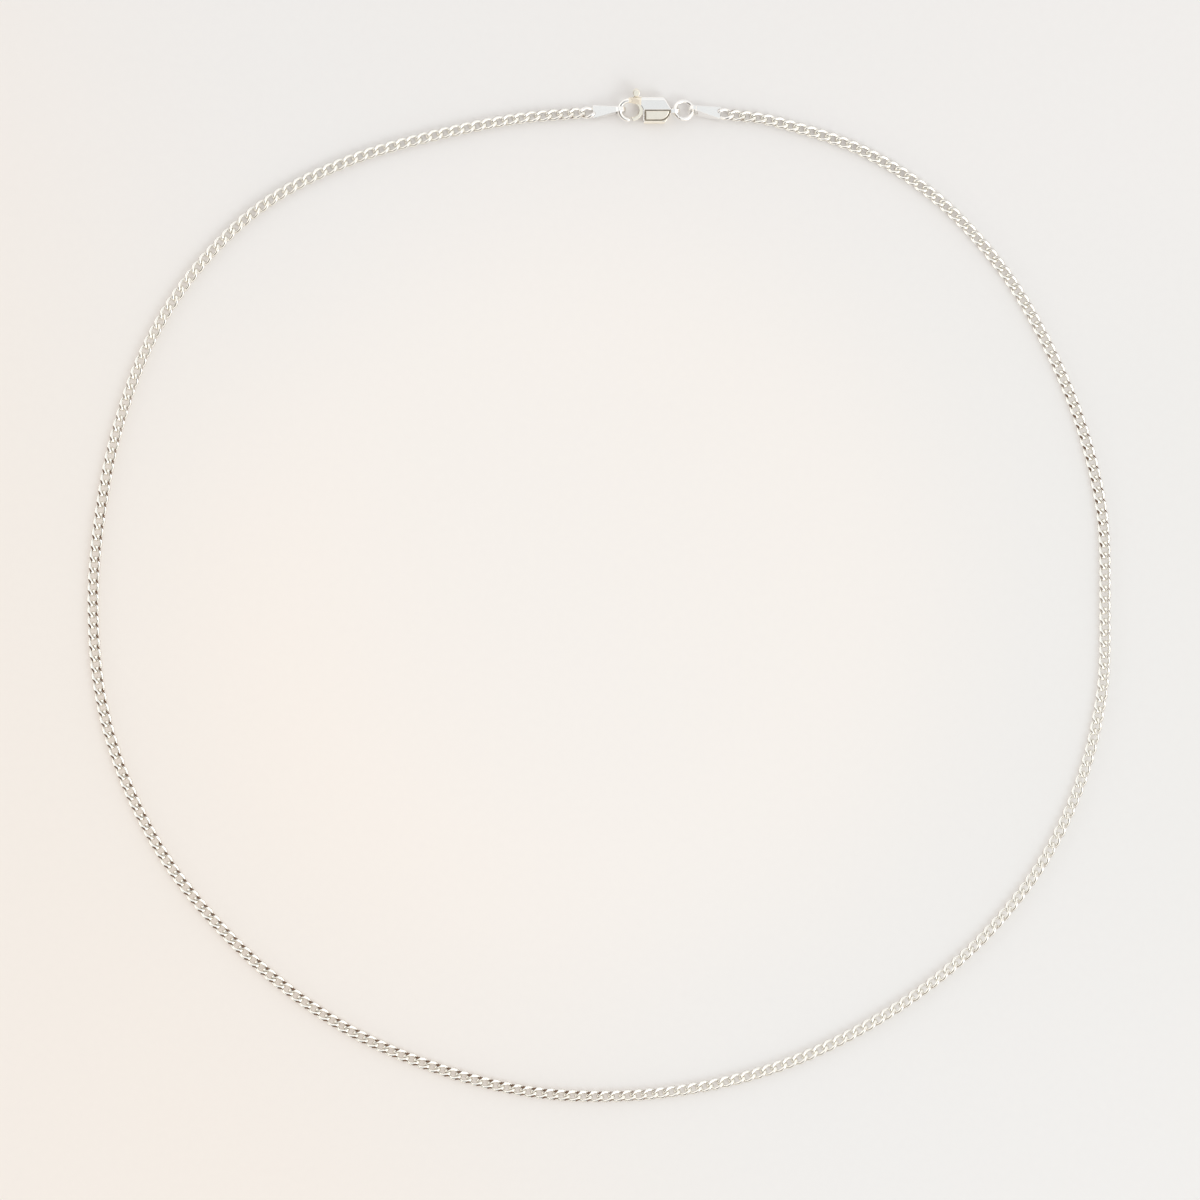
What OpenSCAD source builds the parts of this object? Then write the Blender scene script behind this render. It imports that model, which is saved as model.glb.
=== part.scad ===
// Fine curb chain necklace, fastened and lying flat as a loop.
// +X is to the right, +Y is towards the clasp, +Z is up, and the surface it lies on is z = 0.

/* [Chain] */
// Width of the chain as it lies flat
chain_w = 1.9; // [1.4:0.1:2.6]
// Thickness of the chain as it lies flat
chain_t = 1.05; // [0.8:0.05:1.6]
// Wire of the chain's links
link_wire = 0.45; // [0.3:0.05:0.55]
// Gap between the chain's run and the end loop of each tag
chain_gap = 0.12; // [0.1:0.02:0.5]

/* [End tags] */
// Length of a tag from its eye to its wide end
tag_l = 3.9; // [3.2:0.1:5]
// Width of a tag at the chain
tag_w = 1.9; // [1.5:0.1:2.6]
// Thickness of a tag at its wide end
tag_t = 0.5; // [0.45:0.05:0.7]
// Width of a tag at its eye
neck_w = 0.7; // [0.5:0.05:0.75]
// Metal round the hole of an eye
eye_wall = 0.2; // [0.15:0.05:0.3]
// How far the hole of an eye is wider than the claw's bar
eye_slack = 0.56; // [0.54:0.02:0.7]
// Straight part of the soldered end loop
loop_leg = 1.1; // [0.8:0.05:1.4]
// Roll of the right tag about its length, with the inner edge up
right_tag_roll = 26; // [18:1:28]
// Roll of the left tag about its length, with the inner edge up
left_tag_roll = 8; // [4:1:9]
// Direction in which the right tag runs down from the jump ring
right_tag_yaw = 7; // [0:1:12]
// Direction in which the left tag runs down from the claw
left_tag_yaw = 4; // [0:1:8]

/* [Jump ring] */
// Outer diameter of the jump ring
ring_od = 3.2; // [3.1:0.05:3.4]
// Wire of the jump ring
ring_wire = 0.6; // [0.45:0.05:0.65]
// Lean of the jump ring about X
ring_lean = 6; // [0:1:8]

/* [Clasp] */
// Place of the clasp along X
clasp_x = 7; // [0:0.5:14]
// Place of the clasp along Y
clasp_y = 69.7; // [66:0.1:74]
// Roll of the clasp about its length, with its spine up
clasp_roll = 16; // [12:1:20]
// Height of the clasp's body across its cheeks
body_h = 3.9; // [3.8:0.1:4.6]
// Thickness of the clasp's body
body_t = 1.5; // [1.4:0.05:1.9]
// Length of the body from the claw's hole to where it narrows
body_l = 2.75; // [2.6:0.05:3.6]
// Distance from there to the bail hole
bail_reach = 1.55; // [1.4:0.05:2.2]
// Length over which it narrows to the bail's lug
taper_l = 1; // [0.8:0.05:1.1]
// Width of the bail's lug, along its hole
lug_t = 0.6; // [0.5:0.05:0.7]
// Bevel along the body's edges
bevel = 0.3; // [0.1:0.05:0.4]
// Inner radius of the claw
claw_r = 1.02; // [0.98:0.02:1.2]
// Round bar of the claw's hook
claw_bar = 0.78; // [0.6:0.02:0.9]
// Distance of the claw's centre from the place of the clasp
claw_reach = 2.2; // [2.1:0.05:2.6]
// Width of the groove round the body's lower panel
groove_w = 0.18; // [0.12:0.02:0.24]
// Depth of that groove
groove_d = 0.2; // [0.1:0.02:0.3]

/* [Trigger] */
// Thickness of the trigger
lever_t = 0.5; // [0.4:0.02:0.56]
// Clearance on each side of the trigger
lever_gap = 0.05; // [0.04:0.01:0.08]
// Width of the trigger's curved band and gate
gate_w = 0.58; // [0.45:0.02:0.66]
// Diameter of the rivet
rivet_d = 0.5; // [0.4:0.02:0.6]
// Clearance round the rivet
rivet_gap = 0.03; // [0.02:0.01:0.05]
// Diameter of the thumb tab
tab_d = 1.0; // [0.8:0.05:1.1]
// Thickness of the thumb tab
tab_t = 1.1; // [0.8:0.05:1.3]
// Place of the rivet behind the claw's mouth
pivot_x = 0.72; // [0.6:0.02:1]
// Place of the rivet above the clasp's middle
pivot_y = 0.29; // [0.2:0.01:0.4]
// Radius of the trigger's boss round the rivet
boss_r = 0.65; // [0.55:0.05:0.8]
// Place of the thumb tab along the clasp
tab_x = -1.25; // [-1.4:0.05:-1.1]
// Width of the tab's stem
stem_w = 0.6; // [0.4:0.05:0.7]
// How far the gate swings in
swing = 15; // [8:1:15]

/* [Hidden] */
$fn = 48;
silver = [0.87, 0.87, 0.86];

// Route of the chain, clockwise from the right tag to the left one: x, y, roll with the outer edge up
chain_route = [
    [26.0, 68.0, -8], [38.0, 64.0, 0], [49.0, 57.0, 0], [58.2, 47.1, 0], [64.8, 36.1, 0],
    [69.8, 24.1, 0], [72.7, 11.6, 0], [73.1, -1.0, 5], [72.7, -13.7, 15], [69.7, -26.5, 25],
    [64.2, -38.2, 28], [56.4, -48.3, 28], [47.0, -56.6, 25], [36.2, -63.3, 15], [25.0, -68.1, 5],
    [13.0, -71.0, 0], [0.5, -72.0, 0], [-11.5, -71.0, 0], [-23.6, -67.7, 0], [-35.1, -62.7, 0],
    [-45.6, -55.6, 0], [-54.6, -47.1, 0], [-62.1, -37.5, 0], [-67.9, -26.0, 0], [-71.3, -14.0, 0],
    [-72.3, -1.0, 0], [-71.3, 11.5, 0], [-68.8, 23.9, 0], [-64.2, 36.4, 0], [-57.2, 47.2, 0],
    [-47.7, 56.2, 0], [-35.9, 62.3, 0], [-24.0, 65.9, -5], [-12.0, 68.4, -8]];
steps = 2;

// Small lift that keeps the hard pieces just clear of the surface
lift = 0.02;
ring_r = (ring_od - ring_wire) / 2;
eye_hole = claw_bar + eye_slack;
eye_od = eye_hole + 2 * eye_wall;
loop_inset = 0.03;
loop_hold = 0.2;
loop_r = (tag_w - link_wire) / 2 - loop_inset;
loop_end = tag_l + loop_leg + loop_r + link_wire / 2;
link_z = chain_t / 2 + lift;

// Lowest places of a rolled tag's eye and of its wide end above the surface
function eye_low(roll) = eye_od / 2 * cos(roll) + neck_w / 2 * sin(roll) + lift;
function end_low(roll) = tag_w / 2 * sin(roll) + tag_t / 2 * cos(roll) + lift;
// A tag slopes down until its wide end or its end loop lies as low as it can
function slope(eye_z, roll) = min(asin((eye_z - end_low(roll)) / tag_l),
    asin((eye_z - link_z) / (tag_l + loop_leg)));

// The clasp's own frame has its origin at the claw's mouth, x to the bail, y to the spine
clasp_z = (body_h / 2 - bevel) * sin(clasp_roll) + body_t / 2 * cos(clasp_roll) + lift;
bail_x = body_l + bail_reach;
bail_at = [clasp_x + bail_x, clasp_y, clasp_z];
slot_t = lever_t + 2 * lever_gap;
claw_mid_r = claw_r + claw_bar / 2;
claw_tip_turn = 174;
tip_step = 0.02;
tip_back = 0.05;
hole_right = -0.29;
pivot = [pivot_x, pivot_y];
tip_mid = [-claw_reach - claw_mid_r * sin(180 - claw_tip_turn), -claw_mid_r * cos(180 - claw_tip_turn)];
gate_reach = norm(tip_mid - pivot) - claw_bar / 2 - lever_gap;
band_x = hole_right - claw_r - gate_w;
band_out_r = claw_r + gate_w;
stem_left = tab_x - stem_w / 2;
stem_right = tab_x + stem_w / 2;
tab_clear = 0.12;
tab_up = body_h / 2 + tab_clear + tab_d / 2;
rivet_hold = 0.18;
rivet_l = slot_t + 2 * rivet_hold;

// The left tag's eye goes round the claw's bar
sag = 0.02;
left_eye_at = [clasp_x - claw_reach - claw_mid_r + sag, clasp_y, clasp_z];
left_pitch = slope(clasp_z, left_tag_roll);

// The jump ring goes through the bail and lies low and to the left in the right tag's eye
bail_slack = 0.46;
bail_hole = ring_wire + bail_slack;
pull = 0.1;
drop = 0.12;
right_eye_z = eye_low(right_tag_roll);
right_pitch = slope(right_eye_z, right_tag_roll);
ring_dip = asin((clasp_z - right_eye_z + drop) / (2 * ring_r));
ring_at = [bail_at[0] + ring_r * cos(ring_dip), clasp_y, (clasp_z + right_eye_z - drop) / 2];
right_eye_at = [bail_at[0] + 2 * ring_r * cos(ring_dip) + pull, clasp_y, right_eye_z];

// Both ends of the chain follow the tags
run_start = loop_end + chain_gap;
end_roll = -10;
right_end = [right_eye_at[0] + run_start * cos(right_tag_yaw), clasp_y - run_start * sin(right_tag_yaw),
    end_roll];
left_end = [left_eye_at[0] - run_start * cos(left_tag_yaw), clasp_y - run_start * sin(left_tag_yaw),
    end_roll];
route = concat([right_end], chain_route, [left_end]);

// Eight corners of the chain's section, as shares of its width and thickness
section = [[0.5, -0.2], [0.5, 0.2], [0.3, 0.5], [-0.3, 0.5], [-0.5, 0.2], [-0.5, -0.2], [-0.3, -0.5],
    [0.3, -0.5]];
sides = len(section);

function at(i) = route[max(0, min(len(route) - 1, i))];
function blend(a, b, c, d, t) = (2 * b + (c - a) * t + (2 * a - 5 * b + 4 * c - d) * t * t
    + (3 * b - 3 * c + d - a) * t * t * t) / 2;
function spot(s) = let (i = min(floor(s), len(route) - 2))
    blend(at(i - 1), at(i), at(i + 1), at(i + 2), s - i);
function heading(s) = let (d = spot(min(s + 0.01, len(route) - 1)) - spot(max(s - 0.01, 0)),
    l = norm([d[0], d[1]])) [d[0] / l, d[1] / l];
function corner_up(c, roll) = c[0] * chain_w * sin(roll) + c[1] * chain_t * cos(roll);
function rise(roll) = max([for (c = section) -corner_up(c, roll)]);
function ring_of(s) = let (p = spot(s), h = heading(s), roll = p[2], z = rise(roll))
    [for (c = section) let (out = c[0] * chain_w * cos(roll) - c[1] * chain_t * sin(roll))
        [p[0] - h[1] * out, p[1] + h[0] * out, z + corner_up(c, roll)]];

module curb_chain() {
    count = (len(route) - 1) * steps + 1;
    points = [for (i = [0 : count - 1]) each ring_of(i / steps)];
    walls = [for (i = [0 : count - 2], j = [0 : sides - 1]) let (k = (j + 1) % sides)
        [i * sides + j, (i + 1) * sides + j, (i + 1) * sides + k, i * sides + k]];
    first = [for (j = [0 : sides - 1]) j];
    last = [for (j = [0 : sides - 1]) (count - 1) * sides + sides - 1 - j];
    color(silver) polyhedron(points, concat(walls, [first, last]), convexity = 10);
}

// Tag seen from its side: round at the eye, then thinner down to its wide end
module tag_side() {
    shoulder = 0.04;
    start = eye_od / 2 - shoulder;
    circle(d = eye_od);
    polygon([[0, start], [0, -start], [tag_l, -tag_t / 2], [tag_l, tag_t / 2]]);
}

// Tag seen from above: narrow at the eye and as wide as the chain at its end
module tag_front() {
    full = tag_l - loop_hold - link_wire / 10;
    polygon([[-eye_od, -neck_w / 2], [0, -neck_w / 2], [full, -tag_w / 2], [tag_l, -tag_w / 2],
        [tag_l, tag_w / 2], [full, tag_w / 2], [0, neck_w / 2], [-eye_od, neck_w / 2]]);
}

// End link that is soldered to the tag's wide end
module tag_loop() {
    for (side = [-1, 1])
        translate([tag_l - loop_hold, side * loop_r, 0]) rotate([0, 90, 0])
            cylinder(d = link_wire, h = loop_leg + loop_hold);
    translate([tag_l + loop_leg, 0, 0]) rotate([0, 0, -90])
        rotate_extrude(angle = 180) translate([loop_r, 0]) circle(d = link_wire);
}

// A tag in its own frame: the eye's centre at the origin, the chain towards +x
module tag() {
    difference() {
        union() {
            intersection() {
                rotate([90, 0, 0]) linear_extrude(2 * tag_w, center = true) tag_side();
                linear_extrude(2 * eye_od, center = true) tag_front();
            }
            tag_loop();
        }
        rotate([90, 0, 0]) cylinder(d = eye_hole, h = 2 * tag_w, center = true);
    }
}

module right_tag() {
    color(silver) translate(right_eye_at)
        rotate([0, 0, -right_tag_yaw]) rotate([0, right_pitch, 0]) rotate([-right_tag_roll, 0, 0]) tag();
}

module left_tag() {
    color(silver) translate(left_eye_at)
        rotate([0, 0, 180 + left_tag_yaw]) rotate([0, left_pitch, 0]) rotate([left_tag_roll, 0, 0]) tag();
}

module jump_ring() {
    color(silver) translate(ring_at) rotate([0, ring_dip, 0]) rotate([-ring_lean, 0, 0])
        rotate_extrude() translate([ring_r, 0]) circle(d = ring_wire);
}

// Puts a piece from the clasp's own frame into its place
module in_clasp() {
    translate([clasp_x, clasp_y, clasp_z]) rotate([clasp_roll, 0, 0]) children();
}

// Round hook from the spine over the claw's end to its blunt tip
module hook() {
    translate([-claw_reach, 0, 0]) {
        rotate([0, 0, 90]) rotate_extrude(angle = claw_tip_turn) translate([claw_mid_r, 0])
            circle(d = claw_bar);
        translate([0, claw_mid_r, 0]) rotate([0, 90, 0]) cylinder(d = claw_bar, h = claw_bar);
        rotate([0, 0, 90 + claw_tip_turn]) translate([claw_mid_r, -tip_back, 0])
            sphere(d = claw_bar - 2 * tip_step);
    }
}

// Body seen from the front, with the claw's spine and without the hook
module body_front() {
    core = claw_bar / 3;
    by_stem = 0.2;
    wide = stem_left - by_stem;
    fall = 0.05;
    polygon([[-claw_reach, claw_mid_r - core], [-claw_reach, claw_mid_r + core], [wide, body_h / 2 - fall],
        [stem_right, body_h / 2], [body_l, body_h / 2], [body_l + taper_l, lug_t / 2],
        [bail_x + body_t, lug_t / 2], [bail_x + body_t, -lug_t / 2], [body_l + taper_l, -lug_t / 2],
        [body_l, -body_h / 2], [hole_right, -body_h / 2], [hole_right, 0],
        [hole_right - claw_r, claw_r], [wide, claw_r]]);
}

// Body seen from below, thin at the hook and round at the bail
module body_below() {
    core = claw_bar / 3;
    past_stem = 0.1;
    full = stem_right + past_stem;
    polygon([[-claw_reach, -core], [full, -body_t / 2], [bail_x, -body_t / 2], [bail_x, body_t / 2],
        [full, body_t / 2], [-claw_reach, core]]);
    translate([bail_x, 0]) circle(d = body_t);
}

// Body seen along its length, with a bevel on every edge
module body_across() {
    y = body_h / 2;
    z = body_t / 2;
    polygon([[-y, bevel - z], [bevel - y, -z], [y - bevel, -z], [y, bevel - z],
        [y, z - bevel], [y - bevel, z], [bevel - y, z], [-y, z - bevel]]);
}

// Lower panel of the body, straight above and curved up at the bail end
module panel(grow) {
    margin = 0.37;
    bail_margin = 0.3;
    panel_h = body_h * 0.32;
    left = hole_right + margin;
    turn = body_l + taper_l - bail_margin - panel_h;
    translate([left - grow, -panel_h - grow]) square([turn - left + grow, panel_h + 2 * grow]);
    intersection() {
        translate([turn, 0]) circle(r = panel_h + grow);
        translate([turn - margin, -panel_h - grow]) square([body_l, panel_h + 2 * grow]);
    }
}

// Space between the cheeks for the trigger, open to the claw and at the thumb tab
module slot() {
    rim = 0.45;
    room = 0.1;
    over = 0.01;
    left = stem_left - room;
    right = pivot_x + boss_r + room;
    top_right = stem_right + body_h / 2 * sin(swing) + room;
    floor_y = rim - body_h / 2;
    polygon([[left, body_h], [top_right, body_h], [top_right, -floor_y], [right, -floor_y],
        [right, floor_y], [hole_right - over, floor_y], [hole_right - over, -body_h], [left, -body_h]]);
}

module clasp_body() {
    color(silver) in_clasp() difference() {
        union() {
            intersection() {
                linear_extrude(body_t, center = true) body_front();
                rotate([90, 0, 0]) linear_extrude(2 * body_h, center = true) body_below();
                translate([-2 * claw_reach, 0, 0]) rotate([90, 0, 90])
                    linear_extrude(2 * claw_reach + bail_x + body_t) body_across();
            }
            hook();
        }
        // The claw's hole
        translate([hole_right - claw_r, 0, 0]) cylinder(r = claw_r, h = 2 * body_t, center = true);
        translate([-claw_reach, -claw_r, -body_t])
            cube([claw_reach + hole_right - claw_r, 2 * claw_r, 2 * body_t]);
        linear_extrude(slot_t, center = true) slot();
        translate([0, 0, body_t / 2 - groove_d]) linear_extrude(body_t) difference() {
            panel(groove_w);
            panel(0);
        }
        translate(pivot) cylinder(d = rivet_d + 2 * rivet_gap, h = rivet_l + 2 * rivet_gap, center = true);
        translate([bail_x, 0, 0]) rotate([90, 0, 0]) cylinder(d = bail_hole, h = body_h, center = true);
    }
}

// Outline of the trigger: curved band, gate, arm, boss and the tab's stem
module lever_front() {
    intersection() {
        difference() {
            translate([band_x, 0]) circle(r = band_out_r);
            translate([band_x, 0]) circle(r = claw_r);
            translate([stem_left - 2 * band_out_r, -claw_r / 2]) square(2 * band_out_r);
        }
        translate(pivot) circle(r = gate_reach);
    }
    arm_x = hole_right - gate_w / 2;
    polygon([[arm_x, claw_r * 0.7], [pivot_x, pivot_y + boss_r * 0.9], [pivot_x, pivot_y - boss_r * 0.9],
        [arm_x, -claw_r * 0.7]]);
    translate(pivot) circle(r = boss_r);
    polygon([[stem_left, claw_r + gate_w / 2], [stem_left, tab_up], [stem_right, tab_up],
        [stem_right, claw_r * 0.9]]);
}

module clasp_lever() {
    color(silver) in_clasp() difference() {
        union() {
            linear_extrude(lever_t, center = true) lever_front();
            translate([tab_x, tab_up, 0]) cylinder(d = tab_d, h = tab_t, center = true);
        }
        translate(pivot) cylinder(d = rivet_d + 2 * rivet_gap, h = body_t, center = true);
    }
}

module clasp_rivet() {
    color(silver) in_clasp() translate(pivot) cylinder(d = rivet_d, h = rivet_l, center = true);
}

curb_chain();
left_tag();
right_tag();
jump_ring();
clasp_body();
clasp_lever();
clasp_rivet();
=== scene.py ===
# %% [markdown]
# # A fine silver curb chain necklace
# The necklace lies flat as a closed loop, fastened with a claw clasp at the top. A curb chain is a row of
# small oval links, each twisted so that the whole row lies flat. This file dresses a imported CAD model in
# Blender. The CAD's chain is one plain tube, so the real links are made here, and the clasp, the ring and
# the tags get the soft edges of cast and folded silver. All lengths are in metres unless a name says mm,
# and angles are in degrees until a line turns them into radians.

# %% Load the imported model
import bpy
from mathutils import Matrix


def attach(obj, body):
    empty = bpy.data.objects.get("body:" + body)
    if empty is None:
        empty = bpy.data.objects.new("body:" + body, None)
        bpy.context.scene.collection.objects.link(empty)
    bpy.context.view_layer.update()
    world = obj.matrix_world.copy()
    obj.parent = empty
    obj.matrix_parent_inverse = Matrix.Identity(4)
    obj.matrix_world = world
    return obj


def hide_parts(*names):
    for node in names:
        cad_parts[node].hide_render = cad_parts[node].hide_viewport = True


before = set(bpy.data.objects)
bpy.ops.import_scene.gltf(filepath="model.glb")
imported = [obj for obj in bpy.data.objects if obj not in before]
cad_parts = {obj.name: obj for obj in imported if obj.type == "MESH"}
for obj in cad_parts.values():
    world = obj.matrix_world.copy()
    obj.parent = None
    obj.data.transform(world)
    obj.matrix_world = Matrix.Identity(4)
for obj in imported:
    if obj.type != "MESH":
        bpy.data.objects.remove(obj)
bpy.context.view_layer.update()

# %% Tools that every cell uses
import math
import bmesh
import bpy
import numpy as np
from mathutils import Matrix, Vector

MM = 0.001
AHEAD, UP = Vector((1, 0, 0)), Vector((0, 0, 1))
WHITE = (1.0, 1.0, 1.0, 1)


def show(piece):
    """Puts a new object into the scene."""
    bpy.context.scene.collection.objects.link(piece)
    return piece


print("working in Blender", bpy.app.version_string)

# %% [markdown]
# ## Camera
# The photograph looks straight down. A camera that isn't turned looks along -Z with +Y up in the picture,
# which is that view, so only its place and its lens are set. It stands 0.8 m up, so that the links at the
# rim of the loop are seen nearly as straight from above as those in the middle. The lens follows from that
# height and from the width of the surface in the picture.

# %% Camera
VIEW_WIDTH = 0.17244
VIEW_MIDDLE = (0.00055, -0.00066)
CAMERA_HEIGHT = 0.80
CHAIN_MIDDLE_HEIGHT = 0.0006
NEAREST_SEEN = 0.01
camera_data = bpy.data.cameras.new("overhead_camera")
camera_data.lens = camera_data.sensor_width * (CAMERA_HEIGHT - CHAIN_MIDDLE_HEIGHT) / VIEW_WIDTH
camera_data.clip_start = NEAREST_SEEN
camera = show(bpy.data.objects.new("overhead_camera", camera_data))
camera.location = (VIEW_MIDDLE[0], VIEW_MIDDLE[1], CAMERA_HEIGHT)
bpy.context.scene.camera = camera
print("lens", round(camera_data.lens, 1), "mm")

# %% [markdown]
# ## Node helpers
# Materials, the world and Geometry Nodes trees are all built from nodes, and a few short helpers keep
# those cells readable. One adds a node and feeds its sockets from numbers or from other sockets. Others
# make the nodes that come again and again: sums, a step and a mix of two colours. A Mix node has a socket
# of the same name for each kind of value, so its colour sockets are told apart by number.

# %% Node helpers
MIX_SHARE, MIX_FIRST, MIX_SECOND, MIX_RESULT = 0, 6, 7, 2


def feed(tree, socket, value):
    """Links value to the socket where it is a socket itself, and otherwise sets it."""
    if isinstance(value, bpy.types.NodeSocket):
        tree.links.new(value, socket)
    else:
        socket.default_value = value


def add(tree, kind, inputs=(), **settings):
    """Adds a node with its settings, then feeds its inputs by name or number."""
    node = tree.nodes.new(kind)
    for name, value in settings.items():
        setattr(node, name, value)
    for key, value in dict(inputs).items():
        feed(tree, node.inputs[key], value)
    return node


def sums(tree, operation, *values):
    """The result of one Math node."""
    return add(tree, "ShaderNodeMath", dict(enumerate(values)), operation=operation).outputs["Value"]


def vector_sums(tree, operation, *values, scale=None, gives="Vector"):
    """The result of one Vector Math node: a vector, or a number where gives says Value."""
    inputs = dict(enumerate(values))
    if scale is not None:
        inputs["Scale"] = scale
    return add(tree, "ShaderNodeVectorMath", inputs, operation=operation).outputs[gives]


def step(tree, value, low, high, start=0.0, end=1.0, kind="SMOOTHSTEP"):
    """Goes from start to end while value goes from low to high, smoothly or with kind LINEAR evenly."""
    inputs = {"Value": value, "From Min": low, "From Max": high, "To Min": start, "To Max": end}
    return add(tree, "ShaderNodeMapRange", inputs, interpolation_type=kind).outputs["Result"]


def mix(tree, share, first, second, how="MIX"):
    """A colour that goes by share from the first one to the second, or with how MULTIPLY to their product."""
    inputs = {MIX_SHARE: share, MIX_FIRST: first, MIX_SECOND: second}
    return add(tree, "ShaderNodeMix", inputs, data_type="RGBA", blend_type=how).outputs[MIX_RESULT]


def new_group(name, kind, inputs, outputs):
    """A node tree with named inputs and outputs; returns it with its two end nodes."""
    group = bpy.data.node_groups.new(name, kind)
    for label, socket_kind, value in inputs:
        socket = group.interface.new_socket(label, in_out="INPUT", socket_type=socket_kind)
        if value is not None:
            socket.default_value = value
    for label, socket_kind in outputs:
        group.interface.new_socket(label, in_out="OUTPUT", socket_type=socket_kind)
    return group, group.nodes.new("NodeGroupInput"), group.nodes.new("NodeGroupOutput")


print("node helpers", [helper.__name__ for helper in (feed, add, sums, vector_sums, step, mix, new_group)])

# %% [markdown]
# ## Floor
# The necklace lies on a pale, matt surface with no edge in view, so one large square with a fine grain is
# enough. Two wide soft tints paint light on it: a brighter pool of light in the middle of the loop and
# warmer light towards the lower left.

# %% Floor
FLOOR_SIZE = 3.0
FLOOR_ROUGHNESS, FLOOR_SHINE = 0.85, 0.2
GRAIN_SCALE, GRAIN_DETAIL = 900.0, 4.0
GRAIN_TONES = ((0.841, 0.830, 0.804, 1), (0.859, 0.849, 0.820, 1))
half = FLOOR_SIZE / 2
floor_mesh = bpy.data.meshes.new("pale_surface")
floor_mesh.from_pydata([(-half, -half, 0), (half, -half, 0), (half, half, 0), (-half, half, 0)],
                       [], [(0, 1, 2, 3)])
floor = show(bpy.data.objects.new("pale_surface", floor_mesh))
floor_finish = bpy.data.materials.new("pale_paper")
floor_finish.use_nodes = True
floor_mesh.materials.append(floor_finish)
tree = floor_finish.node_tree
paper = tree.nodes["Principled BSDF"]
paper.inputs["Roughness"].default_value = FLOOR_ROUGHNESS
paper.inputs["Specular IOR Level"].default_value = FLOOR_SHINE
where = add(tree, "ShaderNodeTexCoord").outputs["Object"]
grain = add(tree, "ShaderNodeTexNoise", {"Vector": where, "Scale": GRAIN_SCALE, "Detail": GRAIN_DETAIL})
tone = mix(tree, grain.outputs["Fac"], *GRAIN_TONES)
print("floor", FLOOR_SIZE, "m wide")

# %% Floor: painted light in two wide tints
MIDDLE_LIGHT_POOL, MIDDLE_AT, MIDDLE_EDGE, MIDDLE_FULL = (1.065, 1.035, 1.01, 1), (-0.004, 0.0, 0.0), 0.075, 0.035
CORNER_WARM_LIGHT, CORNER_WAY, CORNER_EDGE, CORNER_FULL = (1.05, 0.995, 0.945, 1), (-0.9, -0.45, 0.0), 0.0, 0.09
from_middle = vector_sums(tree, "DISTANCE", where, MIDDLE_AT, gives="Value")
to_corner = vector_sums(tree, "DOT_PRODUCT", where, CORNER_WAY, gives="Value")
# painted light: a brighter pool in the middle of the loop, and warmer light towards the lower left
for reach, edge, full, tint in ((from_middle, MIDDLE_EDGE, MIDDLE_FULL, MIDDLE_LIGHT_POOL),
                                (to_corner, CORNER_EDGE, CORNER_FULL, CORNER_WARM_LIGHT)):
    painted_light = mix(tree, step(tree, reach, edge, full), WHITE, tint)
    tone = mix(tree, 1.0, tone, painted_light, "MULTIPLY")
print("tints", MIDDLE_LIGHT_POOL[:3], CORNER_WARM_LIGHT[:3])

# %% [markdown]
# ## Light from below
# Seen through the links, the real surface is bright at the sides of the loop and greyer near the clasp, as
# if it were lit from below as well as from above. So its tone is shared out: a part of it is the light
# that the surface throws back, and the rest is a glow of its own, by how far up the picture a place lies.
# Where nothing casts a shadow the two add up to the same tone again.

# %% Light from below
LIGHT_FROM_ABOVE, LIGHT_FROM_BELOW = (1.0, 1.0, 0.97), (1.25, 0.97, 0.78)
BELOW_AT_TOP = 0.15
BELOW_BANDS = ((0.065, 0.02, 0.9), (-0.03, -0.07, -0.45))  # from this y to this y, how much it gains
up_the_picture = add(tree, "ShaderNodeSeparateXYZ", {"Vector": where}).outputs["Y"]
below = BELOW_AT_TOP
for y_from, y_to, gain in BELOW_BANDS:
    below = sums(tree, "MULTIPLY_ADD", step(tree, up_the_picture, y_from, y_to), gain, below)
glow = vector_sums(tree, "SCALE", LIGHT_FROM_BELOW, scale=below)
all_light = vector_sums(tree, "ADD", glow, LIGHT_FROM_ABOVE)
matt = vector_sums(tree, "DIVIDE", tone, all_light)
feed(tree, paper.inputs["Base Color"], matt)
feed(tree, paper.inputs["Emission Color"], vector_sums(tree, "MULTIPLY", matt, glow))
paper.inputs["Emission Strength"].default_value = 1.0
print("light from below at the top, the sides and the bottom",
      [round(BELOW_AT_TOP + sum(gain for *_, gain in BELOW_BANDS[:count]), 2) for count in range(3)])

# %% [markdown]
# ## Light
# Polished silver shows little but what stands round it, so the light is half of the material. The photo
# has a large cool soft light at the lower right, a weaker warm one at the upper left, and white all round
# overhead. Two area lights and a sky of its own do this. The sky is warmer low down. Three dim patches
# in it grey the flat faces of the clasp and the tags that mirror them. One dark gap towards the lower
# left, from a third of the way up to just short of overhead, draws the dark strips on the clasp and the
# ring. The plain Standard view shows each tone as it is.

# %% Soft lights


def direction(azimuth, elevation=0):
    """The way towards an azimuth and an elevation. Azimuth 0 is the picture's right, 90 its top."""
    a, e = math.radians(azimuth), math.radians(elevation)
    return Vector((math.cos(a) * math.cos(e), math.sin(a) * math.cos(e), math.sin(e)))


def soft_light(name, azimuth, elevation, distance, size, power, colour):
    """A round soft light that points at the necklace."""
    light = bpy.data.lights.new(name, "AREA")
    light.shape, light.size, light.energy, light.color = "DISK", size, power, colour
    lamp = show(bpy.data.objects.new(name, light))
    away = direction(azimuth, elevation)
    lamp.location = away * distance
    lamp.rotation_euler = away.to_track_quat("Z", "Y").to_euler()
    return lamp


lamps = [soft_light("cool_key", azimuth=-38, elevation=42, distance=0.9, size=0.5, power=1.6,
                    colour=(0.95, 0.98, 1.0)),
         soft_light("warm_fill", azimuth=165, elevation=25, distance=1.0, size=0.7, power=0.4,
                    colour=(1.0, 0.90, 0.78))]
print("lights", [lamp.name for lamp in lamps])

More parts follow.
